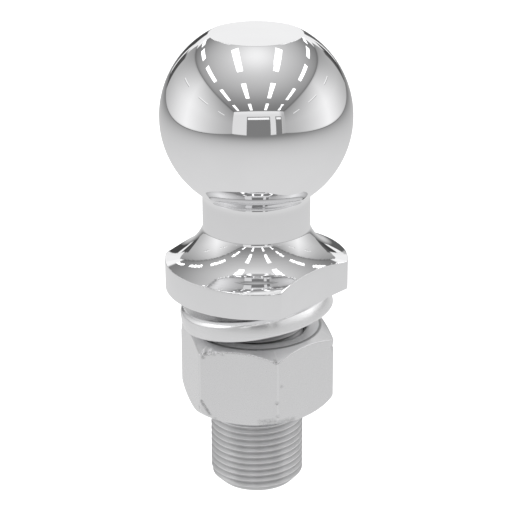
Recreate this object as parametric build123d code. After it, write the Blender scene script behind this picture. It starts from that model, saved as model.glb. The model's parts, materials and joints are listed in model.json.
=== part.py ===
from build123d import *
import math
import os

# Trailer hitch ball: a 2 inch ball on a threaded 1 inch shank, with its lock washer and nut.
# Millimetres, +Z up. The origin is the middle of the shank's end face, so the shank stands on z = 0.

INCH = 25.4

# Ball and neck
BALL_RADIUS = 2 * INCH / 2
BALL_CENTRE_Z = 105.0
TOP_FLAT_ABOVE_CENTRE = 22.2
TOP_EDGE_RADIUS = 0.8
NECK_RADIUS = 14.4
NECK_TOP_FILLET = 3.0
NECK_BELOW_CENTRE = 30.7

# Flange: a concave flare from the neck to a round rim, with two parallel wrench flats
FLANGE_RADIUS = 24.6
RIM_BELOW_CENTRE = 39.7
SEAT_BELOW_CENTRE = 47.5
FLARE_RADIUS = 15.2
FLANGE_EDGE = 0.35
WRENCH_FLATS_ACROSS = 41.2
WRENCH_FLATS_TURN = -41.8

# Shank, with a turned relief between its thread and the flange
SHANK_RADIUS = 1 * INCH / 2
SHANK_FILLET = 0.6
RELIEF_TOP_BELOW_SEAT = 2.5
RELIEF_WIDTH = 3.2
RELIEF_DEPTH = 1.25
SHANK_END_CHAMFER = 2.3

# Right-hand screw thread, 14 turns to the inch, and the radial play between shank and nut
PITCH = INCH / 14
THREAD_DEPTH = 0.6134 * PITCH
CREST_FLAT = PITCH / 8
FLANK_SLOPE = math.tan(math.radians(30))
THREAD_PLAY = 0.2
CUTTER_FLARE = 0.08
CUTTER_OVERRUN = 1.0
BAR_STOCK = 4 * PITCH

# Lock washer: a split ring of wire, wound left-handed, leaning between nut and flange
WASHER_INNER_RADIUS = 13.5
WASHER_OUTER_RADIUS = 20.8
WASHER_THICKNESS = 5.6
WASHER_RISE_PER_TURN = 3.1
WASHER_OUTER_CORNER = 0.9
WASHER_INNER_CORNER = 0.8
WASHER_SPLIT_ANGLE = 8.0
WASHER_CENTRE_BELOW_SEAT = 6.07
WASHER_LEAN_ABOUT_Y = -10.7
WASHER_LEAN_ABOUT_X = -2.7
WASHER_SHIFT_BACK = 0.2

# Hexagon nut
NUT_ACROSS_FLATS = 37.6
NUT_CORNER_RADIUS = 1.35
NUT_HEIGHT = 22.0
NUT_BELOW_SEAT = 11.6
NUT_TURN = -75.0
NUT_TOP_FACE_RADIUS = 17.6
NUT_TOP_CHAMFER_ANGLE = 32.0
NUT_BOTTOM_FACE_RADIUS = 18.1
NUT_BOTTOM_ROUNDING = 3.9
NUT_BOTTOM_ROUNDING_RADIUS = 6.8
NUT_MINOR_DEPTH = 0.5413 * PITCH
NUT_COUNTERSINK_RADIUS = 13.9

# Places worked out from the sizes above
TOP_Z = BALL_CENTRE_Z + TOP_FLAT_ABOVE_CENTRE
NECK_TOP_Z = BALL_CENTRE_Z - math.sqrt(BALL_RADIUS**2 - NECK_RADIUS**2)
NECK_BOTTOM_Z = BALL_CENTRE_Z - NECK_BELOW_CENTRE
RIM_Z = BALL_CENTRE_Z - RIM_BELOW_CENTRE
SEAT_Z = BALL_CENTRE_Z - SEAT_BELOW_CENTRE
RELIEF_TOP_Z = SEAT_Z - RELIEF_TOP_BELOW_SEAT
RELIEF_BOTTOM_Z = RELIEF_TOP_Z - RELIEF_WIDTH
NUT_TOP_Z = SEAT_Z - NUT_BELOW_SEAT
NUT_BOTTOM_Z = NUT_TOP_Z - NUT_HEIGHT


def half_section(curves, rounded_corners):
    """Close the curves, drawn in the XZ plane, into a face and round the corners named by (x, z)."""
    face = make_face(Plane.XZ * Curve(curves))
    for (x, z), radius in rounded_corners.items():
        corner = face.vertices().sort_by_distance((x, 0, z))[0]
        face = fillet(corner, radius)
    return face


def helical_cutter(z_from, z_to, groove_z, tip_radius, tip_half_width, mouth_radius):
    """A right-hand helical V cutter with a flat tip, which widens from the tip towards the mouth."""
    way_out = 1 if mouth_radius > tip_radius else -1
    flank_end = mouth_radius + way_out * CUTTER_FLARE
    mouth_half_width = tip_half_width + abs(flank_end - tip_radius) * FLANK_SLOPE
    back = mouth_radius + way_out * CUTTER_OVERRUN
    start_z = groove_z + math.floor((z_from - groove_z) / PITCH) * PITCH
    section = Polygon(
        (tip_radius, start_z - tip_half_width),
        (flank_end, start_z - mouth_half_width),
        (back, start_z - mouth_half_width),
        (back, start_z + mouth_half_width),
        (flank_end, start_z + mouth_half_width),
        (tip_radius, start_z + tip_half_width),
        align=None,
    )
    path = Helix(PITCH, z_to - start_z, mouth_radius, center=(0, 0, start_z))
    return sweep(Plane.XZ * section, path, is_frenet=True)


def ring(*points):
    """A solid of revolution about Z, from the corners (radius, z) of its half section."""
    return revolve(Plane.XZ * Polygon(*points, align=None), Axis.Z)


def hitch_ball():
    """The one-piece forging: ball, neck, flange with wrench flats, and threaded shank."""
    top_radius = math.sqrt(BALL_RADIUS**2 - TOP_FLAT_ABOVE_CENTRE**2)
    curves = [
        Line((0, TOP_Z), (top_radius, TOP_Z)),
        ThreePointArc((top_radius, TOP_Z), (BALL_RADIUS, BALL_CENTRE_Z), (NECK_RADIUS, NECK_TOP_Z)),
        Line((NECK_RADIUS, NECK_TOP_Z), (NECK_RADIUS, NECK_BOTTOM_Z)),
        RadiusArc((NECK_RADIUS, NECK_BOTTOM_Z), (FLANGE_RADIUS, RIM_Z), -FLARE_RADIUS),
        Polyline(
            (FLANGE_RADIUS, RIM_Z),
            (FLANGE_RADIUS, SEAT_Z),
            (SHANK_RADIUS, SEAT_Z),
            (SHANK_RADIUS, -BAR_STOCK),
            (0, -BAR_STOCK),
            (0, TOP_Z),
        ),
    ]
    rounded = {
        (top_radius, TOP_Z): TOP_EDGE_RADIUS,
        (NECK_RADIUS, NECK_TOP_Z): NECK_TOP_FILLET,
        (FLANGE_RADIUS, RIM_Z): FLANGE_EDGE,
        (FLANGE_RADIUS, SEAT_Z): FLANGE_EDGE,
        (SHANK_RADIUS, SEAT_Z): SHANK_FILLET,
    }
    body = revolve(half_section(curves, rounded), Axis.Z)
    flange_height = NECK_BOTTOM_Z - SEAT_Z
    beyond = Box(FLANGE_RADIUS, 3 * FLANGE_RADIUS, flange_height, align=(Align.MIN, Align.CENTER, Align.MIN))
    for turn in (WRENCH_FLATS_TURN, WRENCH_FLATS_TURN + 180):
        body -= Rot(0, 0, turn) * Pos(WRENCH_FLATS_ACROSS / 2, 0, SEAT_Z) * beyond
    return body - shank_thread() - relief_groove() - shank_end()


def shank_thread():
    """The groove of the external thread, from inside the bar stock to the middle of the relief."""
    root_radius = SHANK_RADIUS - THREAD_DEPTH
    root_half_width = (PITCH - CREST_FLAT) / 2 - THREAD_DEPTH * FLANK_SLOPE
    relief_middle_z = (RELIEF_BOTTOM_Z + RELIEF_TOP_Z) / 2
    return helical_cutter(-BAR_STOCK / 2, relief_middle_z, 0, root_radius, root_half_width, SHANK_RADIUS)


def relief_groove():
    """The turned relief where the thread ends below the flange, with sloping sides."""
    floor_radius = SHANK_RADIUS - RELIEF_DEPTH
    clear_radius = SHANK_RADIUS + RELIEF_DEPTH
    return ring(
        (floor_radius, RELIEF_BOTTOM_Z + RELIEF_DEPTH),
        (clear_radius, RELIEF_BOTTOM_Z - RELIEF_DEPTH),
        (clear_radius, RELIEF_TOP_Z + RELIEF_DEPTH / 2),
        (floor_radius, RELIEF_TOP_Z - RELIEF_DEPTH / 2),
    )


def shank_end():
    """What is turned off the bar stock to leave the flat end face and its chamfer."""
    face_radius = SHANK_RADIUS - SHANK_END_CHAMFER
    clear_radius = SHANK_RADIUS + SHANK_END_CHAMFER
    return ring(
        (0, 0),
        (face_radius, 0),
        (clear_radius, clear_radius - face_radius),
        (clear_radius, -2 * BAR_STOCK),
        (0, -2 * BAR_STOCK),
    )


def lock_washer():
    """A split ring of wire with rounded corners, one left-hand turn, leaning on the nut."""
    middle = (WASHER_OUTER_RADIUS + WASHER_INNER_RADIUS) / 2
    rise = WASHER_RISE_PER_TURN * (1 - WASHER_SPLIT_ANGLE / 360)
    wire = Rectangle(WASHER_OUTER_RADIUS - WASHER_INNER_RADIUS, WASHER_THICKNESS)
    wire = fillet(wire.vertices().group_by(Axis.X)[-1], WASHER_OUTER_CORNER)
    wire = fillet(wire.vertices().group_by(Axis.X)[0], WASHER_INNER_CORNER)
    path = Helix(WASHER_RISE_PER_TURN, rise, middle, lefthand=True)
    coil = sweep(Plane.XZ * Pos(middle, 0) * wire, path, is_frenet=True)
    coil = Rot(0, 0, 90 - WASHER_SPLIT_ANGLE / 2) * Pos(0, 0, -rise / 2) * coil
    coil = Rot(0, WASHER_LEAN_ABOUT_Y, 0) * Rot(WASHER_LEAN_ABOUT_X, 0, 0) * coil
    return Pos(0, WASHER_SHIFT_BACK, SEAT_Z - WASHER_CENTRE_BELOW_SEAT) * coil


def hex_nut():
    """Hexagon nut with rounded corners, chamfered ends and an internal thread that fits the shank."""
    hexagon = RegularPolygon(NUT_ACROSS_FLATS / 2, 6, major_radius=False)
    hexagon = fillet(hexagon.vertices(), NUT_CORNER_RADIUS)
    bore_radius = SHANK_RADIUS - NUT_MINOR_DEPTH + THREAD_PLAY / 2
    stock = extrude(Rot(0, 0, NUT_TURN) * hexagon - Circle(bore_radius), NUT_HEIGHT + 2 * BAR_STOCK)
    stock = Pos(0, 0, NUT_BOTTOM_Z - BAR_STOCK) * stock
    groove_from = NUT_BOTTOM_Z - BAR_STOCK / 2
    groove_to = NUT_TOP_Z + BAR_STOCK / 2
    groove_radius = SHANK_RADIUS + THREAD_PLAY
    stock -= helical_cutter(groove_from, groove_to, PITCH / 2, groove_radius, CREST_FLAT / 2, bore_radius)
    return stock & nut_outline() - nut_countersinks()


def nut_outline():
    """The turned outline of the nut: a flat chamfer above and a forged rounding below."""
    corner_radius = NUT_BOTTOM_FACE_RADIUS + NUT_BOTTOM_ROUNDING
    chamfer_drop = (corner_radius - NUT_TOP_FACE_RADIUS) * math.tan(math.radians(NUT_TOP_CHAMFER_ANGLE))
    rounding_start = (NUT_BOTTOM_FACE_RADIUS, NUT_BOTTOM_Z)
    rounding_end = (corner_radius, NUT_BOTTOM_Z + NUT_BOTTOM_ROUNDING)
    curves = [
        Line((0, NUT_BOTTOM_Z), rounding_start),
        RadiusArc(rounding_start, rounding_end, -NUT_BOTTOM_ROUNDING_RADIUS),
        Polyline(
            rounding_end,
            (corner_radius, NUT_TOP_Z - chamfer_drop),
            (NUT_TOP_FACE_RADIUS, NUT_TOP_Z),
            (0, NUT_TOP_Z),
            (0, NUT_BOTTOM_Z),
        ),
    ]
    return revolve(half_section(curves, {}), Axis.Z)


def nut_countersinks():
    """The two 45 degree funnels that lead into the nut's thread."""
    mouth = NUT_COUNTERSINK_RADIUS
    below = ring((0, NUT_BOTTOM_Z), (mouth, NUT_BOTTOM_Z), (0, NUT_BOTTOM_Z + mouth))
    above = ring((0, NUT_TOP_Z), (mouth, NUT_TOP_Z), (0, NUT_TOP_Z - mouth))
    return below + above


if __name__ == "__main__":
    os.makedirs("parts", exist_ok=True)
    export_step(hitch_ball(), "parts/hitch_ball.step")
    export_step(lock_washer(), "parts/lock_washer.step")
    export_step(hex_nut(), "parts/hex_nut.step")
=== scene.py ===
"""Looks of the hitch ball, its lock washer and its nut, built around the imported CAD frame. Metres, +Z up."""

import json
import math

import bmesh
import bpy
import numpy as np
from mathutils import Matrix, Quaternion, Vector


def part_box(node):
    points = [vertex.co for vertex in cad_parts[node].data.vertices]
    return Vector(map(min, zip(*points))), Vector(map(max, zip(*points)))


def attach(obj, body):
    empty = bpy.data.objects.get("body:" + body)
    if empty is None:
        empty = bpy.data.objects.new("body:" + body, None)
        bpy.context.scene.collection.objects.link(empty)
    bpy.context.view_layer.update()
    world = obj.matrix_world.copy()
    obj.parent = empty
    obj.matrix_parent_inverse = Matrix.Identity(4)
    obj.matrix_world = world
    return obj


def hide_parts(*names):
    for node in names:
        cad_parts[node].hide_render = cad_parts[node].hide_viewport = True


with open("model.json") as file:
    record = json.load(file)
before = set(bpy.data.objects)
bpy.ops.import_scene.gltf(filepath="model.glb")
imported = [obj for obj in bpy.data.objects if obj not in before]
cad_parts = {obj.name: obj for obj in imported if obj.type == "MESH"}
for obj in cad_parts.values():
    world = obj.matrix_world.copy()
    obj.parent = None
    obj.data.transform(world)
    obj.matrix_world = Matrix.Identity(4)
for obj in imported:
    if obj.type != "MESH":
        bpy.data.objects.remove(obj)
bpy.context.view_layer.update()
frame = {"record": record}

MM = 0.001
INCH = 25.4 * MM
FULL_TURN = 2 * math.pi

# Read from the frame: the ball's centre, the flange's seat face, the shank's radius and each piece's box
MOUNTS = {mount["name"]: mount for mount in frame["record"]["mounts"]}
BALL_CENTRE_Z = MOUNTS["coupler_ball"]["pos_m"][2]
SEAT_Z = MOUNTS["seat_face"]["pos_m"][2]
SHANK_RADIUS = MOUNTS["shank"]["dims"]["r_mm"] * MM
BALL_LOW, BALL_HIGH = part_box("hitch_ball")
WASHER_LOW, WASHER_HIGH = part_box("lock_washer")
NUT_LOW, NUT_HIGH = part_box("hex_nut")
BOTTOM_Z = BALL_LOW.z
TOP_Z = BALL_HIGH.z
NUT_BOTTOM_Z = NUT_LOW.z
NUT_TOP_Z = NUT_HIGH.z

# The floor is where the nut stands once it is screwed right off the shank
JOINTS = frame["record"]["behaviour"]["joints"]
FLOOR_Z = NUT_BOTTOM_Z + min(joint["range_m"][0] for joint in JOINTS if "range_m" in joint)

# Ball, neck and flange
BALL_RADIUS = INCH
TOP_EDGE_RADIUS = 0.45 * MM
NECK_RADIUS = 14.4 * MM
NECK_TOP_FILLET = 3.0 * MM
NECK_BOTTOM_Z = BALL_CENTRE_Z - 30.7 * MM
NECK_BOTTOM_EDGE = 0.25 * MM
FLANGE_RADIUS = 24.6 * MM
RIM_Z = BALL_CENTRE_Z - 39.7 * MM
FLARE_RADIUS = 15.2 * MM
FLANGE_EDGE = 0.15 * MM
WRENCH_FLAT_DISTANCE = 20.6 * MM
WRENCH_FLAT_ANGLES = (math.radians(-41.8), math.radians(138.2))

# Where polishing has rolled the flare's outer edge off: deepest at the front, fading out towards the sides
POLISH_START_RADIUS = 21.4 * MM
POLISH_DROP = 0.77 * MM
POLISH_ANGLE = math.radians(-85.0)
POLISH_SPREAD = math.radians(34.0)

# Shank: fillet under the seat, relief groove, thread and chamfered end
SHANK_FILLET = 0.6 * MM
RELIEF_TOP_Z = SEAT_Z - 2.5 * MM
RELIEF_BOTTOM_Z = SEAT_Z - 5.7 * MM
RELIEF_DEPTH = 1.25 * MM
THREAD_TOP_Z = SEAT_Z - 4.0 * MM
END_FACE_RADIUS = SHANK_RADIUS - 2.3 * MM

# Thread: 14 turns per inch, with 60 degree flanks. The middle of its groove passes z = 0 on the +X side.
PITCH = INCH / 14
THREAD_DEPTH = 0.6134 * PITCH
CREST_FLAT = PITCH / 8
CREST_START = (PITCH - CREST_FLAT) / 2
FLANK_SLOPE = math.tan(math.radians(30))
THREAD_PLAY = 0.2 * MM
THREAD_EDGE = 0.03 * MM

# Lock washer: a split ring of wire, wound left-handed and leaning. Its outer side is slightly crowned, and
# the height of the crown's middle is a share of half the thickness.
WASHER_INNER_RADIUS = 13.5 * MM
WASHER_OUTER_RADIUS = 20.8 * MM
WASHER_THICKNESS = 5.6 * MM
WASHER_RISE_PER_TURN = 3.1 * MM
WASHER_OUTER_TOP_CORNER = 1.5 * MM
WASHER_OUTER_CORNER = 0.9 * MM
WASHER_OUTER_CROWN = 0.32 * MM
WASHER_CROWN_MIDDLE = -0.3
WASHER_INNER_CORNER = 0.8 * MM
WASHER_SPLIT = math.radians(8.0)
WASHER_LEAN_ABOUT_Y = math.radians(-10.7)
WASHER_LEAN_ABOUT_X = math.radians(-2.7)
WASHER_END_ROUNDING = 0.25 * MM

# Hexagon nut
SIXTH = FULL_TURN / 6
NUT_HALF_WIDTH = 18.8 * MM
NUT_CORNER_RADIUS = 1.35 * MM
NUT_TURN = math.radians(-75.0)
NUT_TOP_FACE_RADIUS = 17.6 * MM
NUT_TOP_CHAMFER_SLOPE = math.tan(math.radians(32.0))
NUT_BOTTOM_FACE_RADIUS = 18.1 * MM
NUT_BOTTOM_ROUNDING = 3.9 * MM
NUT_BOTTOM_ROUNDING_RADIUS = 6.8 * MM
NUT_EDGE = 0.45 * MM
NUT_MINOR_DEPTH = 0.5413 * PITCH
NUT_COUNTERSINK_RADIUS = 13.9 * MM
# Width of the lighter band along the nut's corners and chamfer edge, part wear, part painted highlight
EDGE_WEAR_AND_GLINT_WIDTH = 0.42 * MM

# Kinds of dent that tools left on the nut, as (size, depth, darkening). A positive darkening makes a dent
# darker, a negative one is a painted highlight that makes it bright.
# A dent ends where it is only DENT_EDGE of its full depth.
DENT_EDGE = 0.02
SHARP_DENT = (0.4 * MM, 0.25 * MM, 0.9)
# Painted highlights: the next two kinds of dent are painted bright
PAINTED_GLINT_DENT = (0.6 * MM, 0.28 * MM, -0.5)
SHALLOW_GLINT_DENT = (0.55 * MM, 0.13 * MM, -0.3)
FAINT_DENT = (0.5 * MM, 0.14 * MM, 0.4)
WIDE_DENT = (1.0 * MM, 0.16 * MM, 0.45)
DEEP_DENT = (0.9 * MM, 0.24 * MM, 0.5)

# The nut's two front corners, counted round from NUT_TURN
FRONT_LEFT = -1
FRONT_RIGHT = 0

# How finely the meshes are divided
BALL_COLUMNS = 160
BALL_STEPS = 90
FLARE_STEPS = 36
NUT_COLUMNS = 288
NUT_SIDE_STEPS = 48
NUT_BEVEL_STEPS = 8
CORNER_COLUMNS = 12
CORNER_STEPS = 5
WASHER_STEPS = 150
FLOOR_COLUMNS = 96
MERGE_DISTANCE = 1e-8


# ---------------------------------------------------------------- mesh tools


def lerp(a, b, steps, ends=True):
    """The values from a to b in that many steps, with or without the first one."""
    shares = np.linspace(0, 1, steps + 1)
    if not ends:
        shares = shares[1:]
    return [a + (b - a) * share for share in shares]


def rise(values, start, end):
    """0 up to start, 1 from end on, and a straight rise between."""
    return np.clip((values - start) / (end - start), 0, 1)


def straight(rows, r, z, steps):
    """Adds rows from the last one straight to (r, z)."""
    last_r, last_z = rows[-1]
    rows.extend(zip(lerp(last_r, r, steps, False), lerp(last_z, z, steps, False)))


def rounded_corner(rows, start, corner, end):
    """Adds a rounded corner that leaves the line start-corner and joins the line corner-end."""
    for share in np.linspace(0, 1, CORNER_STEPS + 1):
        weights = ((1 - share) ** 2, 2 * share * (1 - share), share**2)
        r = weights[0] * start[0] + weights[1] * corner[0] + weights[2] * end[0]
        z = weights[0] * start[1] + weights[1] * corner[1] + weights[2] * end[1]
        rows.append((r, z))


def arc(rows, centre, radius, start_angle, end_angle, steps):
    """Adds an arc about centre, with angles measured from the outward direction towards +Z."""
    for angle in lerp(start_angle, end_angle, steps):
        rows.append((centre[0] + radius * np.cos(angle), centre[1] + radius * np.sin(angle)))


def clean(mesh, close_ends=False):
    """Merges vertices that coincide, fills open ends if asked to, and turns every face outward."""
    shape = bmesh.new()
    shape.from_mesh(mesh)
    bmesh.ops.remove_doubles(shape, verts=shape.verts, dist=MERGE_DISTANCE)
    if close_ends:
        bmesh.ops.holes_fill(shape, edges=[edge for edge in shape.edges if edge.is_boundary], sides=0)
    bmesh.ops.recalc_face_normals(shape, faces=shape.faces)
    shape.to_mesh(mesh)
    shape.free()
    mesh.shade_smooth()


def mesh_from_grid(name, x, y, z):
    """A mesh with one quad for each cell of the grid. Vertices that coincide become one."""
    rows, columns = x.shape
    corner = np.arange(rows * columns).reshape(rows, columns)
    quads = np.stack((corner[:-1, :-1], corner[:-1, 1:], corner[1:, 1:], corner[1:, :-1]), -1)
    mesh = bpy.data.meshes.new(name)
    mesh.from_pydata(np.stack((x, y, z), -1).reshape(-1, 3).tolist(), [], quads.reshape(-1, 4).tolist())
    clean(mesh)
    return mesh


def points_of(mesh):
    """The mesh's vertices as an array with one row each."""
    return np.array([vertex.co for vertex in mesh.vertices])


def store(mesh, name, values):
    """Keeps one number per vertex on the mesh, for its material to read."""
    mesh.attributes.new(name, "FLOAT", "POINT").data.foreach_set("value", values.astype(np.float32))


def in_scene(name, data):
    """A new object with that data, linked into the scene."""
    made = bpy.data.objects.new(name, data)
    bpy.context.scene.collection.objects.link(made)
    return made


def turned(name, rows, angles):
    """A mesh turned about Z from rows of (radius, height), each one number or one number per angle."""
    shape = (len(rows), len(angles))
    r = np.empty(shape)
    z = np.empty(shape)
    for index, (row_r, row_z) in enumerate(rows):
        r[index] = row_r
        z[index] = row_z
    return mesh_from_grid(name, r * np.cos(angles), r * np.sin(angles), z)


def add_piece(name, mesh, body, node, slot_name, *materials):
    """The object of one piece: it stands for its CAD node and rides on the node's body."""
    piece = in_scene(name, mesh)
    for material in materials:
        mesh.materials.append(material)
    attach(piece, body)
    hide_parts(node)
    return piece


def around(angle, normal):
    """The angle measured from normal, between minus and plus half a turn."""
    return (angle - normal + math.pi) % FULL_TURN - math.pi


def rounded_ray(angle, corner_angle, corner_distance, corner_radius):
    """Distance to a rounding of corner_radius whose centre is corner_distance out at corner_angle."""
    away = around(angle, corner_angle)
    across = corner_distance * np.sin(away)
    return corner_distance * np.cos(away) + np.sqrt(np.maximum(corner_radius**2 - across**2, 0))


def column_angles(corners, columns):
    """One full turn of angles, evenly spaced, with extra ones across each (first, last) corner."""
    angles = list(np.linspace(0, FULL_TURN, columns, endpoint=False))
    for first, last in corners:
        margin = (last - first) / 3
        inside = [a for a in angles if not 0 < (a - first + margin) % FULL_TURN < last - first + 2 * margin]
        angles = inside + [a % FULL_TURN for a in np.linspace(first, last, CORNER_COLUMNS)]
        angles += [(first - margin) % FULL_TURN, (last + margin) % FULL_TURN]
    angles = sorted(angles)
    return np.array(angles + [angles[0] + FULL_TURN])


# ---------------------------------------------------------------- shapes


def thread_radius(z, angle, root_radius, crest_radius):
    """Radius of a right-hand thread's surface at that height and angle, between its root and crest."""
    turn = z / PITCH - angle / FULL_TURN
    from_groove = np.abs(turn - np.round(turn)) * PITCH
    depth = abs(crest_radius - root_radius)
    share = 1 - np.clip((CREST_START - from_groove) / FLANK_SLOPE / depth, 0, 1)
    return root_radius + (crest_radius - root_radius) * share


def thread_rows(z_high, z_low, angles, depth):
    """Heights of rows that follow the thread's own edges from z_high down to z_low, one array per row."""
    marks = []
    for edge in (CREST_START - depth * FLANK_SLOPE, CREST_START):
        marks += [edge - THREAD_EDGE, edge + THREAD_EDGE]
    marks += [PITCH - mark for mark in marks]
    turns = range(math.floor(z_low / PITCH) - 2, math.ceil(z_high / PITCH) + 2)
    heights = sorted((turn * PITCH + mark for turn in turns for mark in marks), reverse=True)
    return [np.clip(height + PITCH * angles / FULL_TURN, z_low, z_high) for height in heights]


def wrench_corner():
    """Where a wrench flat meets the rim: the rounding's distance from the axis, its angle, the flat's end."""
    reach = FLANGE_RADIUS - FLANGE_EDGE
    corner = math.acos((WRENCH_FLAT_DISTANCE - FLANGE_EDGE) / reach)
    return reach, corner, math.atan2(reach * math.sin(corner), WRENCH_FLAT_DISTANCE)


def flange_outline(angles):
    """Radius of the flange seen from above: a circle cut by two wrench flats, with its corners rounded."""
    outline = np.full(len(angles), FLANGE_RADIUS)
    reach, corner, flat_end = wrench_corner()
    for normal in WRENCH_FLAT_ANGLES:
        away = np.abs(around(angles, normal))
        on_flat = away <= flat_end
        outline[on_flat] = WRENCH_FLAT_DISTANCE / np.cos(away[on_flat])
        on_corner = (away > flat_end) & (away < corner)
        outline[on_corner] = rounded_ray(away[on_corner], corner, reach, FLANGE_EDGE)
    return outline


def flange_corners():
    """The (first, last) angle of each rounded corner between the rim and a wrench flat."""
    _, corner, flat_end = wrench_corner()
    spans = []
    for normal in WRENCH_FLAT_ANGLES:
        spans += [(normal + flat_end, normal + corner), (normal - corner, normal - flat_end)]
    return spans


def flare_centre():
    """Centre of the flare's arc, which joins the neck's lower end to the rim."""
    start = np.array((NECK_RADIUS, NECK_BOTTOM_Z))
    end = np.array((FLANGE_RADIUS, RIM_Z))
    chord = end - start
    half = np.linalg.norm(chord) / 2
    outward = np.array((-chord[1], chord[0])) / (2 * half)
    return (start + end) / 2 + outward * math.sqrt(FLARE_RADIUS**2 - half**2)


def ball_rows():
    """Rows of the ball and its fillet, from the middle of the top flat down to the neck."""
    top = TOP_Z - BALL_CENTRE_Z
    edge_r = math.sqrt((BALL_RADIUS - TOP_EDGE_RADIUS) ** 2 - (top - TOP_EDGE_RADIUS) ** 2)
    edge_angle = math.atan2(top - TOP_EDGE_RADIUS, edge_r)
    fillet_r = NECK_RADIUS + NECK_TOP_FILLET
    fillet_drop = math.sqrt((BALL_RADIUS + NECK_TOP_FILLET) ** 2 - fillet_r**2)
    fillet_angle = math.atan2(-fillet_drop, fillet_r)
    rows = [(0.0, TOP_Z)]
    straight(rows, edge_r - TOP_EDGE_RADIUS / 4, TOP_Z, steps=12)
    arc(rows, (edge_r, TOP_Z - TOP_EDGE_RADIUS), TOP_EDGE_RADIUS, math.pi / 2, edge_angle, steps=6)
    arc(rows, (0, BALL_CENTRE_Z), BALL_RADIUS, edge_angle, fillet_angle, BALL_STEPS)
    fillet_centre = (fillet_r, BALL_CENTRE_Z - fillet_drop)
    arc(rows, fillet_centre, NECK_TOP_FILLET, fillet_angle + math.pi, math.pi, steps=8)
    return rows


def flange_rows(rows, angles):
    """Adds the neck, the flare, the rim with its wrench flats, and the seat face under the flange."""
    outline = flange_outline(angles)
    centre = flare_centre()

    def flare_z(radius):
        arc_z = centre[1] - np.sqrt(FLARE_RADIUS**2 - (centre[0] - radius) ** 2)
        outward = np.clip((radius - POLISH_START_RADIUS) / (FLANGE_RADIUS - POLISH_START_RADIUS), 0, None)
        sideways = around(angles, POLISH_ANGLE) / POLISH_SPREAD
        return arc_z - POLISH_DROP * outward**2 * np.exp(-(sideways**2))

    start_r = NECK_RADIUS + NECK_BOTTOM_EDGE
    straight(rows, NECK_RADIUS, NECK_BOTTOM_Z + 2 * NECK_BOTTOM_EDGE, steps=10)
    neck_end = (NECK_RADIUS, NECK_BOTTOM_Z + NECK_BOTTOM_EDGE)
    rounded_corner(rows, neck_end, (NECK_RADIUS, NECK_BOTTOM_Z), (start_r, flare_z(start_r)))
    end_r = outline - FLANGE_EDGE
    for share in lerp(0, 1, FLARE_STEPS, False):
        radius = start_r + (end_r - start_r) * share
        rows.append((radius, flare_z(radius)))
    rim = (outline, flare_z(outline))
    rounded_corner(rows, (end_r, flare_z(end_r)), rim, (outline, rim[1] - FLANGE_EDGE))
    straight(rows, outline, SEAT_Z + 2 * FLANGE_EDGE, steps=8)
    seat_edge = (outline, SEAT_Z + FLANGE_EDGE)
    rounded_corner(rows, seat_edge, (outline, SEAT_Z), (outline - FLANGE_EDGE, SEAT_Z))
    fillet_r = SHANK_RADIUS + SHANK_FILLET
    straight(rows, fillet_r, SEAT_Z, steps=8)
    arc(rows, (fillet_r, SEAT_Z - SHANK_FILLET), SHANK_FILLET, math.pi / 2, math.pi, steps=5)


def shank_rows(rows, angles):
    """Adds the shank: the plain collar and relief groove, the thread, and the chamfered end."""
    floor_r = SHANK_RADIUS - RELIEF_DEPTH
    straight(rows, SHANK_RADIUS, RELIEF_TOP_Z, steps=3)
    straight(rows, floor_r, RELIEF_TOP_Z - RELIEF_DEPTH / 2, steps=3)
    straight(rows, floor_r, THREAD_TOP_Z, steps=1)
    root_radius = SHANK_RADIUS - THREAD_DEPTH
    for z in thread_rows(THREAD_TOP_Z, BOTTOM_Z, angles, THREAD_DEPTH):
        thread = thread_radius(z, angles, root_radius, SHANK_RADIUS)
        relief = np.maximum(floor_r, SHANK_RADIUS - (z - RELIEF_BOTTOM_Z))
        chamfer = END_FACE_RADIUS + (z - BOTTOM_Z)
        rows.append((np.minimum(np.minimum(thread, relief), chamfer), z))
    straight(rows, 0.0, BOTTOM_Z, steps=6)


def hitch_ball_mesh():
    """The one-piece forging, closed from the middle of its top flat to the middle of its end face."""
    angles = column_angles(flange_corners(), BALL_COLUMNS)
    rows = ball_rows()
    flange_rows(rows, angles)
    shank_rows(rows, angles)
    return turned("hitch_ball_skin", rows, angles)


def hexagon_corner():
    """Where two of the nut's sides meet: the rounding's distance from the axis, and the flat's end angle."""
    inner = NUT_HALF_WIDTH - NUT_CORNER_RADIUS
    return inner / math.cos(SIXTH / 2), math.atan2(inner * math.tan(SIXTH / 2), NUT_HALF_WIDTH)


def hexagon_outline(angles):
    """Radius of the nut's rounded hexagon, seen from above."""
    outline = np.empty(len(angles))
    reach, flat_end = hexagon_corner()
    away = (angles - NUT_TURN) % SIXTH
    from_corner = np.minimum(away, SIXTH - away)
    on_flat = SIXTH / 2 - from_corner <= flat_end
    outline[on_flat] = NUT_HALF_WIDTH / np.cos(SIXTH / 2 - from_corner[on_flat])
    outline[~on_flat] = rounded_ray(from_corner[~on_flat], 0.0, reach, NUT_CORNER_RADIUS)
    return outline


def hexagon_corners():
    """The (first, last) angle of each rounded corner of the nut."""
    half = SIXTH / 2 - hexagon_corner()[1]
    return [(NUT_TURN + side * SIXTH - half, NUT_TURN + side * SIXTH + half) for side in range(6)]


def nut_bottom_z(radius):
    """Height of the forged rounding at the nut's lower end, at that radius."""
    start = np.array((NUT_BOTTOM_FACE_RADIUS, NUT_BOTTOM_Z))
    end = start + NUT_BOTTOM_ROUNDING
    half = np.linalg.norm(end - start) / 2
    inward = np.array((-1, 1)) / math.sqrt(2)
    centre = (start + end) / 2 + inward * math.sqrt(NUT_BOTTOM_ROUNDING_RADIUS**2 - half**2)
    return centre[1] - np.sqrt(NUT_BOTTOM_ROUNDING_RADIUS**2 - (radius - centre[0]) ** 2)


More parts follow.
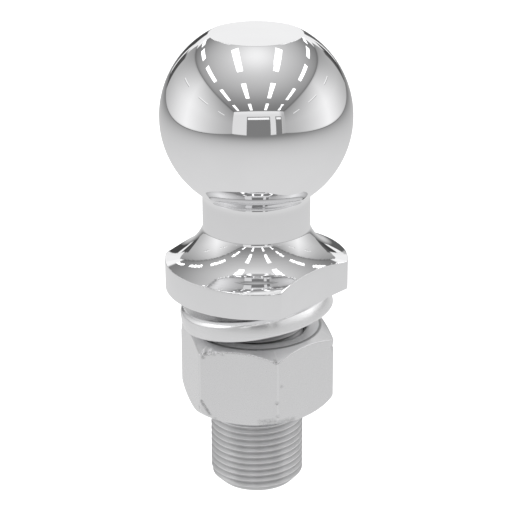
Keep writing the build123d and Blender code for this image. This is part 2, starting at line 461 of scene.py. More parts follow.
def nut_mesh():
    """The nut: top face, conical chamfer, six sides, forged lower rounding and threaded hole."""
    angles = column_angles(hexagon_corners(), NUT_COLUMNS)
    outline = hexagon_outline(angles)

    def chamfer_z(radius):
        return NUT_TOP_Z - (radius - NUT_TOP_FACE_RADIUS) * NUT_TOP_CHAMFER_SLOPE

    rows = [(NUT_COUNTERSINK_RADIUS, NUT_TOP_Z)]
    straight(rows, NUT_TOP_FACE_RADIUS - NUT_EDGE, NUT_TOP_Z, steps=5)
    cone_start = NUT_TOP_FACE_RADIUS + NUT_EDGE / 2
    cone_end = outline - NUT_EDGE / 2
    top_corner = (NUT_TOP_FACE_RADIUS, NUT_TOP_Z)
    top_start = (NUT_TOP_FACE_RADIUS - NUT_EDGE / 2, NUT_TOP_Z)
    rounded_corner(rows, top_start, top_corner, (cone_start, chamfer_z(cone_start)))
    for share in lerp(0, 1, NUT_BEVEL_STEPS, False):
        radius = cone_start + (cone_end - cone_start) * share
        rows.append((radius, chamfer_z(radius)))
    side_top = chamfer_z(outline)
    rounded_corner(rows, (cone_end, chamfer_z(cone_end)), (outline, side_top), (outline, side_top - NUT_EDGE))
    side_bottom = nut_bottom_z(outline)
    straight(rows, outline, side_top - 2 * NUT_EDGE, steps=2)
    straight(rows, outline, side_bottom + 2 * NUT_EDGE, NUT_SIDE_STEPS)
    lower_r = outline - NUT_EDGE / 2
    lower = (lower_r, nut_bottom_z(lower_r))
    rounded_corner(rows, (outline, side_bottom + NUT_EDGE), (outline, side_bottom), lower)
    for share in lerp(0, 1, NUT_BEVEL_STEPS, False):
        radius = lower_r + (NUT_BOTTOM_FACE_RADIUS - lower_r) * share
        rows.append((radius, nut_bottom_z(radius)))
    straight(rows, NUT_COUNTERSINK_RADIUS, NUT_BOTTOM_Z, steps=5)
    minor_radius = SHANK_RADIUS - NUT_MINOR_DEPTH + THREAD_PLAY / 2
    groove_radius = SHANK_RADIUS + THREAD_PLAY
    for z in reversed(thread_rows(NUT_TOP_Z, NUT_BOTTOM_Z, angles, groove_radius - minor_radius)):
        thread = thread_radius(z, angles, minor_radius, groove_radius)
        above = NUT_COUNTERSINK_RADIUS - (NUT_TOP_Z - z)
        below = NUT_COUNTERSINK_RADIUS - (z - NUT_BOTTOM_Z)
        rows.append((np.maximum(thread, np.maximum(above, below)), z))
    mesh = turned("hex_nut_skin", rows, angles)
    nick(mesh)
    mark_edge_wear_and_glint(mesh)
    return mesh


def dents(corner, kind, start, end=None, count=1):
    """A run of like dents in even steps. A place is (degrees past the corner, millimetres above the foot)."""
    middle = NUT_TURN + corner * SIXTH
    places = np.linspace(start, end or start, count)
    return [(middle + math.radians(past), height * MM, *kind) for past, height in places]


def nut_dents():
    """All the nut's dents, as (angle, height above the nut's foot, size, depth, darkening), where a negative
    darkening is a painted highlight.
    """
    runs = dents(FRONT_LEFT, PAINTED_GLINT_DENT, (0.5, 20.2), (5.5, 20.4), 2)
    runs += dents(FRONT_LEFT, SHARP_DENT, (2.5, 19.1), (3.5, 20.0), 2)
    runs += dents(FRONT_LEFT, SHALLOW_GLINT_DENT, (10.5, 20.4), (17.0, 20.7), 2)
    runs += dents(FRONT_LEFT, SHARP_DENT, (1.0, 6.0), (6.5, 2.5), 6)
    runs += dents(FRONT_LEFT, FAINT_DENT, (-1.5, 4.0), (11.0, 1.2), 2)
    runs += dents(FRONT_RIGHT, WIDE_DENT, (-11.5, 1.6), (-3.0, 2.4), 3)
    runs += dents(FRONT_RIGHT, WIDE_DENT, (1.5, 1.9), (14.5, 1.0), 4)
    runs += dents(FRONT_RIGHT, FAINT_DENT, (0.0, 4.0), (-0.5, 8.0), 2)
    runs += dents(FRONT_RIGHT, FAINT_DENT, (3.0, 12.5))
    runs += dents(FRONT_RIGHT, SHARP_DENT, (-1.5, 19.8))
    for corner, height in ((1, 17.5), (2, 19.0), (3, 4.0), (4, 19.0)):
        runs += dents(corner, DEEP_DENT, (0.0, height))
    return runs


def nick(mesh):
    """Presses the small dents into the nut's outside and stores how much darker each vertex is inside one, or
    how bright where a dent has a painted highlight.
    """
    points = points_of(mesh)
    angle = np.arctan2(points[:, 1], points[:, 0])
    reach = np.hypot(points[:, 0], points[:, 1])
    outside = reach > NUT_TOP_FACE_RADIUS - NUT_EDGE
    nicked = np.zeros(len(points))
    push = np.zeros(len(points))
    for middle, height, size, depth, darkening_or_glint in nut_dents():
        across = around(angle, middle) * reach
        away = np.hypot(across, points[:, 2] - NUT_BOTTOM_Z - height) / size
        dent = np.exp(-(away**4)) * outside
        push += dent * depth
        nicked = np.where(dent > DENT_EDGE, np.maximum(nicked, 0) + dent * darkening_or_glint, nicked)
    points[:, :2] *= (1 - push / np.maximum(reach, MM))[:, None]
    mesh.vertices.foreach_set("co", points.ravel())
    store(mesh, "nicked", np.minimum(nicked, 1))


def mark_edge_wear_and_glint(mesh):
    """Stores how close each vertex lies to the nut's six corners or to the edge of its top chamfer, where the
    tone is lighter from wear and a painted highlight.
    """
    points = points_of(mesh)
    angle = np.arctan2(points[:, 1], points[:, 0])
    from_corner = np.abs((angle - NUT_TURN + SIXTH / 2) % SIXTH - SIXTH / 2) * NUT_HALF_WIDTH
    side_top = NUT_TOP_Z - (hexagon_outline(angle) - NUT_TOP_FACE_RADIUS) * NUT_TOP_CHAMFER_SLOPE
    outside = np.hypot(points[:, 0], points[:, 1]) > NUT_TOP_FACE_RADIUS + NUT_EDGE
    close = np.exp(-((from_corner / EDGE_WEAR_AND_GLINT_WIDTH) ** 2))
    close = np.maximum(close, np.exp(-(((points[:, 2] - side_top) / EDGE_WEAR_AND_GLINT_WIDTH) ** 2)))
    store(mesh, "rubbed", close * outside)


def washer_section():
    """Corner-rounded section of the washer's wire as (outward, up) points about its middle."""
    half_width = (WASHER_OUTER_RADIUS - WASHER_INNER_RADIUS) / 2
    half_height = WASHER_THICKNESS / 2
    corners = (
        (1, 1, WASHER_OUTER_TOP_CORNER, 0),
        (-1, 1, WASHER_INNER_CORNER, 90),
        (-1, -1, WASHER_INNER_CORNER, 180),
        (1, -1, WASHER_OUTER_CORNER, 270),
    )
    points = []
    for out, up, radius, start in corners:
        centre = (out * (half_width - radius), up * (half_height - radius))
        arc(points, centre, radius, math.radians(start), math.radians(start + 90), steps=8)
    points = np.array(points)
    from_crown = points[:, 1] / half_height - WASHER_CROWN_MIDDLE
    points[:, 0] -= rise(points[:, 0], 0, half_width) * WASHER_OUTER_CROWN * from_crown**2
    return points


def washer_mesh():
    """The washer's wire along its left-hand turn, with both cut ends closed and slightly rounded."""
    section = washer_section()
    middle = (WASHER_OUTER_RADIUS + WASHER_INNER_RADIUS) / 2
    sweep = FULL_TURN - WASHER_SPLIT
    end_angle = WASHER_END_ROUNDING / middle
    steps = [0.0, end_angle / 3, end_angle]
    steps += lerp(2 * end_angle, sweep - 2 * end_angle, WASHER_STEPS)
    steps += [sweep - end_angle, sweep - end_angle / 3, sweep]
    x, y, z = [], [], []
    for step in steps:
        from_end = min(step, sweep - step) / end_angle
        bite = 1 - math.sqrt(max(1 - (1 - min(from_end, 1)) ** 2, 0))
        shrink = 1 - bite * WASHER_END_ROUNDING / (WASHER_THICKNESS / 2)
        angle = math.pi / 2 - WASHER_SPLIT / 2 - step
        radius = middle + section[:, 0] * shrink
        x.append(radius * math.cos(angle))
        y.append(radius * math.sin(angle))
        z.append(section[:, 1] * shrink + WASHER_RISE_PER_TURN * (step - sweep / 2) / FULL_TURN)
    mesh = washer_wire(np.array(x), np.array(y), np.array(z))
    lean = Matrix.Rotation(WASHER_LEAN_ABOUT_Y, 4, "Y") @ Matrix.Rotation(WASHER_LEAN_ABOUT_X, 4, "X")
    mesh.transform(lean)
    points = points_of(mesh)
    box_middle = Vector((points.min(axis=0) + points.max(axis=0)) / 2)
    mesh.transform(Matrix.Translation((WASHER_LOW + WASHER_HIGH) / 2 - box_middle))
    return mesh


def washer_wire(x, y, z):
    """A tube from rings of points, closed around its section and capped at both ends."""
    x, y, z = (np.concatenate((a, a[:, :1]), 1) for a in (x, y, z))
    mesh = mesh_from_grid("lock_washer_skin", x, y, z)
    clean(mesh, close_ends=True)
    return mesh


# ---------------------------------------------------------------- materials

# How deep each surface's marks are, in metres
WAVE_DEPTH = 4e-6
LATHE_DEPTH = 6e-6
WIRE_GRAIN_DEPTH = 2.5e-6
NUT_GRAIN_DEPTH = 0.8e-6
THREAD_GRAIN_DEPTH = 4e-6


class Nodes:
    """Builds one material's node tree, with a Principled shader as its surface."""

    def __init__(self, name):
        self.material = bpy.data.materials.new(name)
        self.material.use_nodes = True
        self.tree = self.material.node_tree
        self.shader = self.tree.nodes["Principled BSDF"]

    def add(self, kind, **settings):
        """A new node of that kind with those settings."""
        node = self.tree.nodes.new("ShaderNode" + kind)
        for key, value in settings.items():
            setattr(node, key, value)
        return node

    def join(self, value, socket):
        """Links an output to the socket, or sets the socket to a number."""
        if isinstance(value, bpy.types.NodeSocket):
            self.tree.links.new(value, socket)
        else:
            socket.default_value = value

    def math(self, operation, a, b=0.0, c=0.0):
        """The result of that operation on up to three values."""
        node = self.add("Math", operation=operation)
        for value, socket in zip((a, b, c), node.inputs):
            self.join(value, socket)
        return node.outputs[0]

    def ramp(self, value, low, high, to_low=0.0, to_high=1.0):
        """Maps value from low..high to to_low..to_high, smoothly, and holds it outside."""
        node = self.add("MapRange", interpolation_type="SMOOTHSTEP")
        for number, socket in zip((value, low, high, to_low, to_high), node.inputs):
            self.join(number, socket)
        return node.outputs["Result"]

    def noise(self, vector, scale, detail=2.0, roughness=0.5):
        """Soft random values around 0.5."""
        node = self.add("TexNoise")
        self.join(vector, node.inputs["Vector"])
        self.join(scale, node.inputs["Scale"])
        self.join(detail, node.inputs["Detail"])
        self.join(roughness, node.inputs["Roughness"])
        return node.outputs[0]

    def place(self):
        """The object coordinates, and their x, y, z and distance from the Z axis."""
        vector = self.add("TexCoord").outputs["Object"]
        split = self.add("SeparateXYZ")
        self.join(vector, split.inputs[0])
        x, y, z = split.outputs
        radius = self.math("SQRT", self.math("ADD", self.math("MULTIPLY", x, x), self.math("MULTIPLY", y, y)))
        return vector, x, y, z, radius

    def stretched(self, values, scales):
        """A vector of three values, each scaled by its own number, for marks that run one way."""
        joined = self.add("CombineXYZ")
        for value, scale, socket in zip(values, scales, joined.inputs):
            self.join(self.math("MULTIPLY", value, scale), socket)
        return joined.outputs[0]

    def bump(self, height, distance, normal=None):
        """The normal, tilted by that height times that distance in metres."""
        node = self.add("Bump")
        self.join(height, node.inputs["Height"])
        self.join(distance, node.inputs["Distance"])
        if normal is not None:
            self.join(normal, node.inputs["Normal"])
        return node.outputs[0]

    def grey(self, value):
        """A neutral colour of that brightness, a touch cool as plated steel is."""
        node = self.add("CombineColor")
        self.join(value, node.inputs[0])
        self.join(value, node.inputs[1])
        self.join(self.math("MULTIPLY", value, 1.01), node.inputs[2])
        return node.outputs[0]


def upward(n):
    """How far the surface faces up: 1 on a level top, 0 on a wall, -1 on a level underside."""
    split = n.add("SeparateXYZ")
    n.join(n.add("NewGeometry").outputs["Normal"], split.inputs[0])
    return split.outputs["Z"]


def chrome_material():
    """Mirror chrome: faint smudges, hairline scratches, and fine turning marks where it faces up."""
    n = Nodes("mirror_chrome")
    vector, x, y, z, radius = n.place()
    smudge = n.noise(vector, 70.0, detail=4.0, roughness=0.6)
    n.join(n.grey(n.ramp(smudge, 0.3, 0.7, 0.885, 0.905)), n.shader.inputs["Base Color"])
    hair = n.noise(n.stretched((x, y, z), (260.0, 900.0, 5200.0)), 1.0, detail=1.0)
    scratch = n.ramp(hair, 0.70, 0.74)
    worn = n.math("MULTIPLY_ADD", scratch, 0.05, n.ramp(smudge, 0.35, 0.8, 0.008, 0.035))
    n.join(worn, n.shader.inputs["Roughness"])
    below_ball = n.ramp(z, BALL_CENTRE_Z - BALL_RADIUS, BALL_CENTRE_Z - 0.85 * BALL_RADIUS, 1.0, 0.03)
    lathe = n.noise(n.stretched((radius, 0.0, z), (2600.0, 0.0, 2600.0)), 1.0, detail=2.0)
    facing_up = n.ramp(upward(n), 0.05, 0.35, 0.15, 1.0)
    marks = n.math("MULTIPLY", n.math("MULTIPLY", lathe, below_ball), facing_up)
    wave = n.noise(n.stretched((x, y, z), (60.0, 60.0, 160.0)), 1.0, detail=1.0)
    first = n.bump(n.math("MULTIPLY", wave, below_ball), WAVE_DEPTH)
    n.join(n.bump(marks, LATHE_DEPTH, first), n.shader.inputs["Normal"])
    n.shader.inputs["Metallic"].default_value = 1.0
    return n.material


def plated(n, tone, rough, grain, grain_depth):
    """Joins a plated metal's tone, roughness and grain to its shader."""
    n.join(n.grey(tone), n.shader.inputs["Base Color"])
    n.join(rough, n.shader.inputs["Roughness"])
    n.join(n.bump(grain, grain_depth), n.shader.inputs["Normal"])


def brushed_around(n, amount):
    """Stretches the shader's highlights across marks that run around the Z axis."""
    tangent = n.add("Tangent", direction_type="RADIAL", axis="Z")
    n.join(tangent.outputs[0], n.shader.inputs["Tangent"])
    n.shader.inputs["Anisotropic"].default_value = amount
    n.shader.inputs["Anisotropic Rotation"].default_value = 0.25


def washer_material():
    """Bright zinc plate on drawn spring wire: smooth, with fine marks along the wire, a painted highlight on
    its upper outer rounding and painted shade on its level top face.
    """
    n = Nodes("zinc_washer_plate")
    vector, _, _, z, radius = n.place()
    up = upward(n)
    cloud = n.noise(vector, 120.0, detail=3.0, roughness=0.6)
    streak = n.noise(n.stretched((radius, 0.0, z), (1500.0, 0.0, 1500.0)), 1.0, detail=3.0, roughness=0.6)
    # painted highlight: surfaces tilted up are painted brighter, most on the upper outer rounding
    tone = n.math("MULTIPLY_ADD", cloud, 0.07, n.ramp(up, 0.10, 0.40, 0.83, 0.92))
    tone = n.math("MULTIPLY_ADD", streak, 0.06, n.math("SUBTRACT", tone, 0.03))
    # painted shade: the level top face under the flange is painted darker
    tone = n.math("MULTIPLY", tone, n.ramp(up, 0.80, 0.97, 1.0, 0.52))
    rough = n.math("MULTIPLY_ADD", cloud, 0.10, n.math("MULTIPLY_ADD", streak, 0.08, 0.14))
    plated(n, tone, rough, streak, WIRE_GRAIN_DEPTH)
    n.shader.inputs["Metallic"].default_value = 1.0
    brushed_around(n, 0.4)
    return n.material


def painted_shade_ring(n, radius, up):
    """1 on a thin ring just inside the edge of the nut's top face, and 0 elsewhere: the mask of a dark ring of
    painted shade.
    """
    start = n.ramp(radius, NUT_TOP_FACE_RADIUS - 0.8 * MM, NUT_TOP_FACE_RADIUS - 0.5 * MM)
    end = n.ramp(radius, NUT_TOP_FACE_RADIUS - 0.1 * MM, NUT_TOP_FACE_RADIUS + 0.3 * MM)
    return n.math("MULTIPLY", n.math("SUBTRACT", start, end), n.ramp(up, 0.4, 0.6))


def nut_material():
    """Bright zinc plate on a forged nut: mottled, with edges lightened by wear and a painted highlight, dents
    darkened or given a painted highlight, painted shade in the bore and in a ring on the top face, a chamfer
    painted darker and a top face painted brighter.
    """
    n = Nodes("zinc_nut_plate")
    vector, x, y, z, radius = n.place()
    up = upward(n)
    mottle = n.noise(vector, 150.0, detail=5.0, roughness=0.6)
    rubbed = n.add("Attribute", attribute_name="rubbed").outputs["Fac"]
    nicked = n.add("Attribute", attribute_name="nicked").outputs["Fac"]
    nicked = n.math("MULTIPLY", nicked, n.ramp(n.noise(vector, 1500.0, detail=2.0), 0.36, 0.56, 0.35, 1.0))
    # part wear, part painted highlight: lighter along the corners and chamfer edge and in random patches
    worn_and_glint = n.ramp(n.math("ADD", rubbed, n.math("MULTIPLY_ADD", mottle, 0.5, -0.3)), 0.40, 0.95)
    # painted shade: the tone darkens into the threaded hole
    painted_bore_shade = n.ramp(radius, SHANK_RADIUS + 0.4 * MM, NUT_COUNTERSINK_RADIUS + 0.3 * MM, 0.3, 1.0)
    tone = n.math("MULTIPLY_ADD", mottle, 0.04, n.math("MULTIPLY_ADD", worn_and_glint, 0.05, 0.775))
    # dents: painted highlights lighten the tone, the other dents darken it
    tone = n.math("MULTIPLY", n.math("MULTIPLY_ADD", nicked, -0.40, tone), painted_bore_shade)
    # painted light by facing: the upward-tilted chamfer is painted darker and the level top face brighter
    painted_chamfer_shade = n.ramp(up, 0.55, 0.80, 1.0, 0.90)
    painted_top_face_light = n.ramp(up, 0.93, 0.99, 0.0, 0.24)
    tone = n.math("MULTIPLY", tone, n.math("ADD", painted_chamfer_shade, painted_top_face_light))
    # painted shade: a dark ring just inside the edge of the top face
    tone = n.math("MULTIPLY", tone, n.math("MULTIPLY_ADD", painted_shade_ring(n, radius, up), -0.62, 1.0))
    scratch = n.ramp(n.noise(n.stretched((x, y, z), (500.0, 2300.0, 6100.0)), 1.0, detail=1.0), 0.66, 0.72)
    faced = n.math("MULTIPLY_ADD", nicked, 0.2, n.ramp(up, 0.5, 0.8, 0.18, 0.30))
    rough = n.math("MULTIPLY_ADD", mottle, 0.10, n.math("MULTIPLY_ADD", scratch, 0.06, faced))
    plated(n, tone, rough, n.noise(vector, 1300.0, detail=3.0, roughness=0.65), NUT_GRAIN_DEPTH)
    n.join(n.ramp(up, 0.93, 0.99, 1.0, 0.5), n.shader.inputs["Metallic"])
    return n.material


def thread_material():
    """Satin plated thread: painted shade in its roots, lighter crests, and painted shade on the stretch above
    the nut.
    """
    n = Nodes("plated_thread")
    vector, _, _, z, radius = n.place()
    mottle = n.noise(vector, 300.0, detail=4.0, roughness=0.6)
    # painted shade: the tone darkens from the crests down into the thread's roots
    depth = n.ramp(radius, SHANK_RADIUS - THREAD_DEPTH, SHANK_RADIUS - 0.1 * MM, 0.60, 0.80)
    # painted shade: the thread is darker everywhere above the nut's top, fading in over one pitch below it
    painted_shade_above_nut = n.ramp(z, NUT_TOP_Z - PITCH, NUT_TOP_Z, 1.0, 0.62)
    tone = n.math("MULTIPLY", n.math("MULTIPLY_ADD", mottle, 0.10, n.math("SUBTRACT", depth, 0.05)), painted_shade_above_nut)
    rough = n.math("MULTIPLY_ADD", mottle, 0.16, 0.28)
    grain = n.noise(n.stretched((radius, 0.0, z), (3000.0, 0.0, 3000.0)), 1.0, detail=2.0)
    plated(n, tone, rough, grain, THREAD_GRAIN_DEPTH)
    n.shader.inputs["Metallic"].default_value = 1.0
    brushed_around(n, 0.6)
    return n.material


# ---------------------------------------------------------------- the object

hitch_ball = add_piece(
    "hitch_ball_forging",
    hitch_ball_mesh(),
    "ball_stud",
    "hitch_ball",
    "chrome_ball",
    chrome_material(),
    thread_material(),
)
for face in hitch_ball.data.polygons:
    face.material_index = int(face.center.z < SEAT_Z - SHANK_FILLET)
add_piece("lock_washer_ring", washer_mesh(), "washer", "lock_washer", "zinc_washer", washer_material())
add_piece("hex_nut_body", nut_mesh(), "nut", "hex_nut", "zinc_nut", nut_material())


# ---------------------------------------------------------------- studio

# A pale room around the object, seen only in its reflections. Places are in metres from the ball's centre.
ROOM_HEIGHT = 0.455
ROOM_LEFT = -0.61
ROOM_RIGHT = 0.675
ROOM_FRONT = -1.08
ROOM_BACK = 1.25
ROOM_FOOT = -BALL_CENTRE_Z
ROOM_YAW = math.radians(2.2)
ROOM_PLACE = Matrix.Translation((0, 0, BALL_CENTRE_Z)) @ Matrix.Rotation(ROOM_YAW, 4, "Z")

# The gap between a wall and what hangs on it, the share of light that the chrome mirrors, and the darkest
# that the room gets
CARD_GAP = 0.002
CHROME_TONE = 0.9
DARKEST = 0.03

# Rows of ceiling lights, in room heights, and the brightness of each
PANEL_ROWS = (-1.01, -0.32, 0.365, 1.05)
PANEL_COLUMNS = range(5)
PANEL_START = -1.93
PANEL_PITCH = 0.95
PANEL_LENGTH = 0.61
PANEL_WIDTH = 0.12
PANEL_RADIANCE = 1.7

# Lamps along the side walls, each a bright strip over a dark one
WALL_LAMPS = 3
WALL_LAMP_START = -0.72
WALL_LAMP_PITCH = PANEL_PITCH * ROOM_HEIGHT
WALL_LAMP_LENGTH = 0.19
WALL_LAMP_WIDTH = 0.009
WALL_LAMP_HEIGHTS = {"left": 0.245, "right": 0.265}
WALL_LAMP_LEVELS = (("dark", 0.45, -WALL_LAMP_WIDTH), ("bright", 0.97, 0.0))

# Dark lines along the walls, and two dark doors behind the camera, as (name, left edge, width), each with a
# lamp inside its top
LINE_HEIGHT = 0.010
LINE_LEVEL = 0.20
FRONT_LINE_LEVEL = 0.25
DOORS = (("wide", -0.25, 0.52), ("narrow", 0.40, 0.15))
DOOR_TOP = 0.32
DOOR_LEVEL = 0.20
DOOR_LAMP_DROP = 0.07
DOOR_LAMP_HEIGHT = 0.05
DOOR_LAMP_INSET = 0.02
DOOR_LAMP_LEVEL = 0.95

# Lights in the frame's own axes: one above everything, and three that each fall on one plated piece alone,
# as (piece, name, place, size, power)
OVERHEAD_HEIGHT = 1.2
OVERHEAD_SIZE = 1.6
OVERHEAD_POWER = 12.0
PLATING_LIGHTS = (
    ("lock_washer_ring", "washer_light_left", (-0.49, -0.17, 0.36), 0.50, 0.52),
    ("lock_washer_ring", "washer_light_right", (0.42, -0.24, 0.06), 0.56, 0.22),
    ("hex_nut_body", "nut_light_right", (0.36, 0.46, 0.42), 0.55, 0.30),
)

# Floor, as the radii of its rings, and the surround's brightness
FLOOR_RINGS = (0.0, 0.3, 1.0, 6.0)
FLOOR_GLOW = 0.09
WORLD_TONE = 0.97


def emission_material(name):
    """A glowing surface whose mesh's glow values set its brightness."""
    material = bpy.data.materials.new(name)
    material.use_nodes = True
    nodes = material.node_tree.nodes
    nodes.remove(nodes["Principled BSDF"])
    emission = nodes.new("ShaderNodeEmission")
    glow = nodes.new("ShaderNodeAttribute")
    glow.attribute_name = "glow"
    material.node_tree.links.new(glow.outputs["Fac"], emission.inputs["Strength"])
    material.node_tree.links.new(emission.outputs[0], nodes["Material Output"].inputs["Surface"])
    material.cycles.emission_sampling = "NONE"
    return material


ROOM_MATERIAL = emission_material("room_glow")


def card(name, corner, along, up, glow, steps=60):
    """A flat card of the room from one corner along two edges. glow gives its brightness at its points."""
    corner, along, up = (np.array(v, float) for v in (corner, along, up))
    shares = np.linspace(0, 1, steps + 1)
    grid = corner + shares[:, None, None] * along + shares[None, :, None] * up
    mesh = mesh_from_grid(name, grid[..., 0], grid[..., 1], grid[..., 2])
    store(mesh, "glow", glow(points_of(mesh)))
    mesh.materials.append(ROOM_MATERIAL)
    made = in_scene(name, mesh)
    made.matrix_world = ROOM_PLACE
    made.visible_camera = False
    made.visible_diffuse = False
    made.visible_shadow = False


def near(values, edge, width):
    """1 at the edge, falling to 0 over the width."""
    return np.clip(1 - np.abs(values - edge) / width, 0, 1) ** 2


def between(values, start, end, edge):
    """1 between start and end, 0 outside, with edges that wide."""
    return rise(values, start - edge / 2, start + edge / 2) - rise(values, end - edge / 2, end + edge / 2)


def seen(brightness):
    """The glow that chrome mirrors at this brightness."""
    return np.maximum(brightness, DARKEST) / CHROME_TONE


def flat_glow(brightness):
    """The same glow all over a card."""
    return lambda p: seen(np.full(len(p), float(brightness)))


def ceiling_glow(p):
    """Brightest above the object, white at the back, and darker along the side walls."""
    away = np.hypot(p[:, 0], p[:, 1])
    glow = 0.19 + 0.45 * np.exp(-((away / 0.55) ** 2)) + 0.25 * np.exp(-((away / 0.15) ** 2))
    glow += (0.92 - glow) * rise(p[:, 1], 0.95, 1.02)
    glow -= 0.08 * near(p[:, 0], ROOM_LEFT, 0.06) + 0.08 * near(p[:, 0], ROOM_RIGHT, 0.06)
    return seen(glow)


def floor_glow(p):
    """Brightest below the object."""
    away = np.hypot(p[:, 0], p[:, 1])
    return seen(0.19 + 0.475 * np.exp(-((away / 0.56) ** 2)))


def wall_fall(p):
    """How a wall darkens towards the ceiling, with soft lines along its top and foot."""
    fall = 1 - 0.31 * rise(p[:, 2], 0.12, 0.42) ** 1.3
    return fall - 0.40 * near(p[:, 2], ROOM_HEIGHT, 0.04) - 0.45 * near(p[:, 2], ROOM_FOOT, 0.03)


def side_glow(p):
    """A side wall, brightest beside the object, with a dark opening at its far end."""
    glow = (0.42 + 0.48 * np.exp(-((np.abs(p[:, 1]) / 0.42) ** 1.3))) * wall_fall(p)
    low = 1 - rise(p[:, 2], 0.23, 0.26)
    left_end = low * rise(p[:, 1], 0.95, 0.97) * (p[:, 0] < 0)
    right_end = low * rise(p[:, 1], 1.03, 1.05) * (p[:, 0] > 0)
    glow += (0.08 - glow) * left_end + (0.10 - glow) * right_end
    return seen(glow)


def front_glow(p):
    """The wall behind the camera: plain, and darker at its right end and its foot."""
    glow = 0.72 - 0.27 * rise(p[:, 0], 0.50, 0.60) + 0.08 * rise(p[:, 2], 0.36, 0.42)
    return seen(glow * (1 - 0.5 * near(p[:, 2], ROOM_FOOT, 0.03)))


def back_glow(p):
    """The wall behind the object: dark openings with two white pillars, under a bright lintel."""
    lintel = rise(p[:, 2], 0.20, 0.225)
    pillars = between(p[:, 0], -0.515, -0.435, 0.01) + between(p[:, 0], 0.415, 0.505, 0.01)
    bright = 0.82 - 0.36 * between(p[:, 0], 0.10, 0.41, 0.03)
    dark = 0.06 + 0.05 * between(p[:, 0], -0.12, 0.41, 0.05)
    glow = dark + (bright - dark) * lintel
    glow += (0.88 - glow) * pillars * (1 - lintel)
    glow += (0.85 - glow) * rise(p[:, 2], 0.28, 0.31)
    return seen(glow)


def build_room():
    """The room's ceiling, floors and walls, with the lines, lamps and doors on them."""
    width = (ROOM_RIGHT - ROOM_LEFT, 0, 0)
    depth = (0, ROOM_BACK - ROOM_FRONT, 0)
    height = (0, 0, ROOM_HEIGHT - ROOM_FOOT)
    card("ceiling", (ROOM_LEFT, ROOM_FRONT, ROOM_HEIGHT), width, depth, ceiling_glow, steps=160)
    lift = CARD_GAP / 4
    under_nut = FLOOR_Z - BALL_CENTRE_Z
    for name, z in (("mirrored_floor", ROOM_FOOT), ("mirrored_floor_under_nut", under_nut)):
        card(name, (ROOM_LEFT, ROOM_FRONT, z + lift), width, depth, floor_glow, steps=80)
    for name, x in (("left", ROOM_LEFT), ("right", ROOM_RIGHT)):
        card(name + "_wall", (x, ROOM_FRONT, ROOM_FOOT), depth, height, side_glow, steps=120)
    card("front_wall", (ROOM_LEFT, ROOM_FRONT, ROOM_FOOT), width, height, front_glow)
    card("back_wall", (ROOM_LEFT, ROOM_BACK, ROOM_FOOT), width, height, back_glow, steps=160)
    line = (0, 0, LINE_HEIGHT)
    for name, inside in (("left", ROOM_LEFT + CARD_GAP), ("right", ROOM_RIGHT - CARD_GAP)):
        for place, z in (("skirting", ROOM_FOOT), ("coving", ROOM_HEIGHT - LINE_HEIGHT)):
            card(f"{name}_{place}", (inside, ROOM_FRONT, z), depth, line, flat_glow(LINE_LEVEL), steps=1)
        add_wall_lamps(name, inside)
    front = ROOM_FRONT + CARD_GAP
    card("front_skirting", (ROOM_LEFT, front, ROOM_FOOT), width, line, flat_glow(FRONT_LINE_LEVEL), steps=1)
    for name, x, door_width in DOORS:
        add_door(name, x, door_width, front + CARD_GAP)


def add_wall_lamps(side, x):
    """The lamps along one side wall."""
    length = (0, WALL_LAMP_LENGTH, 0)
    for step in range(WALL_LAMPS):
        y = WALL_LAMP_START + step * WALL_LAMP_PITCH
        for shade, level, drop in WALL_LAMP_LEVELS:
            foot = (x, y, WALL_LAMP_HEIGHTS[side] + drop)
            card(f"{side}_{shade}_{step}", foot, length, (0, 0, WALL_LAMP_WIDTH), flat_glow(level), steps=1)


def add_door(name, x, width, y):
    """A dark door on the front wall, with a lamp inside its top."""
    height = (0, 0, DOOR_TOP - ROOM_FOOT)
    card(name + "_door", (x, y, ROOM_FOOT), (width, 0, 0), height, flat_glow(DOOR_LEVEL), steps=1)
    corner = (x + DOOR_LAMP_INSET, y + CARD_GAP, DOOR_TOP - DOOR_LAMP_DROP)
    length = (width - 2 * DOOR_LAMP_INSET, 0, 0)
    card(name + "_lamp", corner, length, (0, 0, DOOR_LAMP_HEIGHT), flat_glow(DOOR_LAMP_LEVEL), steps=1)


def area_light(name, place, shape, power, width, length=0.0):
    """An area light that the camera does not see. place is its matrix, and length is for a rectangle."""
    light = bpy.data.lights.new(name, "AREA")
    light.shape = shape
    light.size = width
    light.size_y = length or width
    light.energy = power
    lamp = in_scene(name, light)
    lamp.matrix_world = place
    lamp.visible_camera = False
    return lamp


def add_panels():
    """The rows of rectangular ceiling lights, facing down."""
    width = PANEL_WIDTH * ROOM_HEIGHT
    length = PANEL_LENGTH * ROOM_HEIGHT
    power = PANEL_RADIANCE * math.pi * width * length
    for row, share in enumerate(PANEL_ROWS):
        for column in PANEL_COLUMNS:
            x = share * ROOM_HEIGHT
            y = (PANEL_START + column * PANEL_PITCH) * ROOM_HEIGHT
            place = ROOM_PLACE @ Matrix.Translation((x, y, ROOM_HEIGHT - CARD_GAP))
            area_light(f"panel_{row}_{column}", place, "RECTANGLE", power, width, length)


def add_overhead():
    """A wide soft light above the object, which no surface mirrors."""
    place = Matrix.Translation((0.0, 0.0, OVERHEAD_HEIGHT))
    lamp = area_light("overhead", place, "DISK", OVERHEAD_POWER, OVERHEAD_SIZE)
    lamp.visible_glossy = False


def add_plating_light(piece, name, place, size, power):
    """A soft light that falls on one plated piece alone and draws its highlights."""
    aim = Vector((0.0, 0.0, NUT_TOP_Z)) - Vector(place)
    turned_to_piece = aim.to_track_quat("-Z", "Y").to_matrix().to_4x4()
    lamp = area_light(name, Matrix.Translation(place) @ turned_to_piece, "DISK", power, size)
    lit = bpy.data.collections.new(name + "_lit")
    lit.objects.link(bpy.data.objects[piece])
    lamp.light_linking.receiver_collection = lit


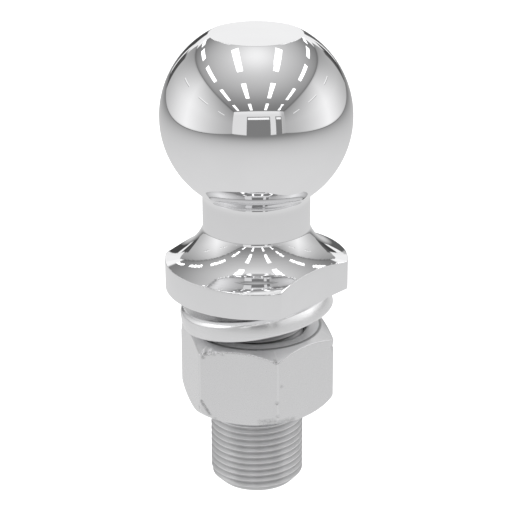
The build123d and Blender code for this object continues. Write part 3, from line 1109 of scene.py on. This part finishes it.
def floor_material():
    """Pale matt studio floor with the faintest mottling."""
    n = Nodes("pale_floor")
    vector = n.place()[0]
    tone = n.ramp(n.noise(vector, 9.0, detail=3.0), 0.2, 0.8, 0.895, 0.915)
    n.join(n.grey(tone), n.shader.inputs["Base Color"])
    n.shader.inputs["Roughness"].default_value = 0.9
    n.shader.inputs["Specular IOR Level"].default_value = 0.1
    n.shader.inputs["Emission Color"].default_value = (1.0, 1.0, 1.0, 1.0)
    n.shader.inputs["Emission Strength"].default_value = FLOOR_GLOW
    return n.material


def build_floor():
    """A round pale floor, just where the nut comes to stand once it is screwed right off the shank."""
    angles = np.linspace(0, FULL_TURN, FLOOR_COLUMNS + 1)
    mesh = turned("floor", [(radius, 0.0) for radius in FLOOR_RINGS], angles)
    mesh.materials.append(floor_material())
    floor = in_scene("floor", mesh)
    floor.location.z = FLOOR_Z


def build_world():
    """A pale surround, which fills the view beyond the floor and lights what is not a mirror."""
    world = bpy.data.worlds.new("studio")
    world.use_nodes = True
    background = world.node_tree.nodes["Background"]
    background.inputs["Color"].default_value = (WORLD_TONE, WORLD_TONE, WORLD_TONE, 1.0)
    bpy.context.scene.world = world


def build_camera():
    """The camera at the photograph's angle, looking a little down at the middle of the object."""
    distance = 0.520
    elevation = math.radians(21.85)
    target = Vector((-0.14 * MM, 0.0, BALL_CENTRE_Z - 39.43 * MM))
    roll = math.radians(-0.13)
    data = bpy.data.cameras.new("camera")
    data.lens = 136.1
    data.sensor_width = 36.0
    data.clip_start = 0.01
    data.clip_end = 50.0
    camera = in_scene("camera", data)
    back = Vector((0.0, -math.cos(elevation), math.sin(elevation)))
    camera.rotation_mode = "QUATERNION"
    camera.location = target + back * distance
    camera.rotation_quaternion = (-back).to_track_quat("-Z", "Y") @ Quaternion((0, 0, 1), roll)
    bpy.context.scene.camera = camera


build_room()
add_panels()
add_overhead()
for plating_light in PLATING_LIGHTS:
    add_plating_light(*plating_light)
build_floor()
build_world()
build_camera()
bpy.context.scene.view_settings.view_transform = "Standard"
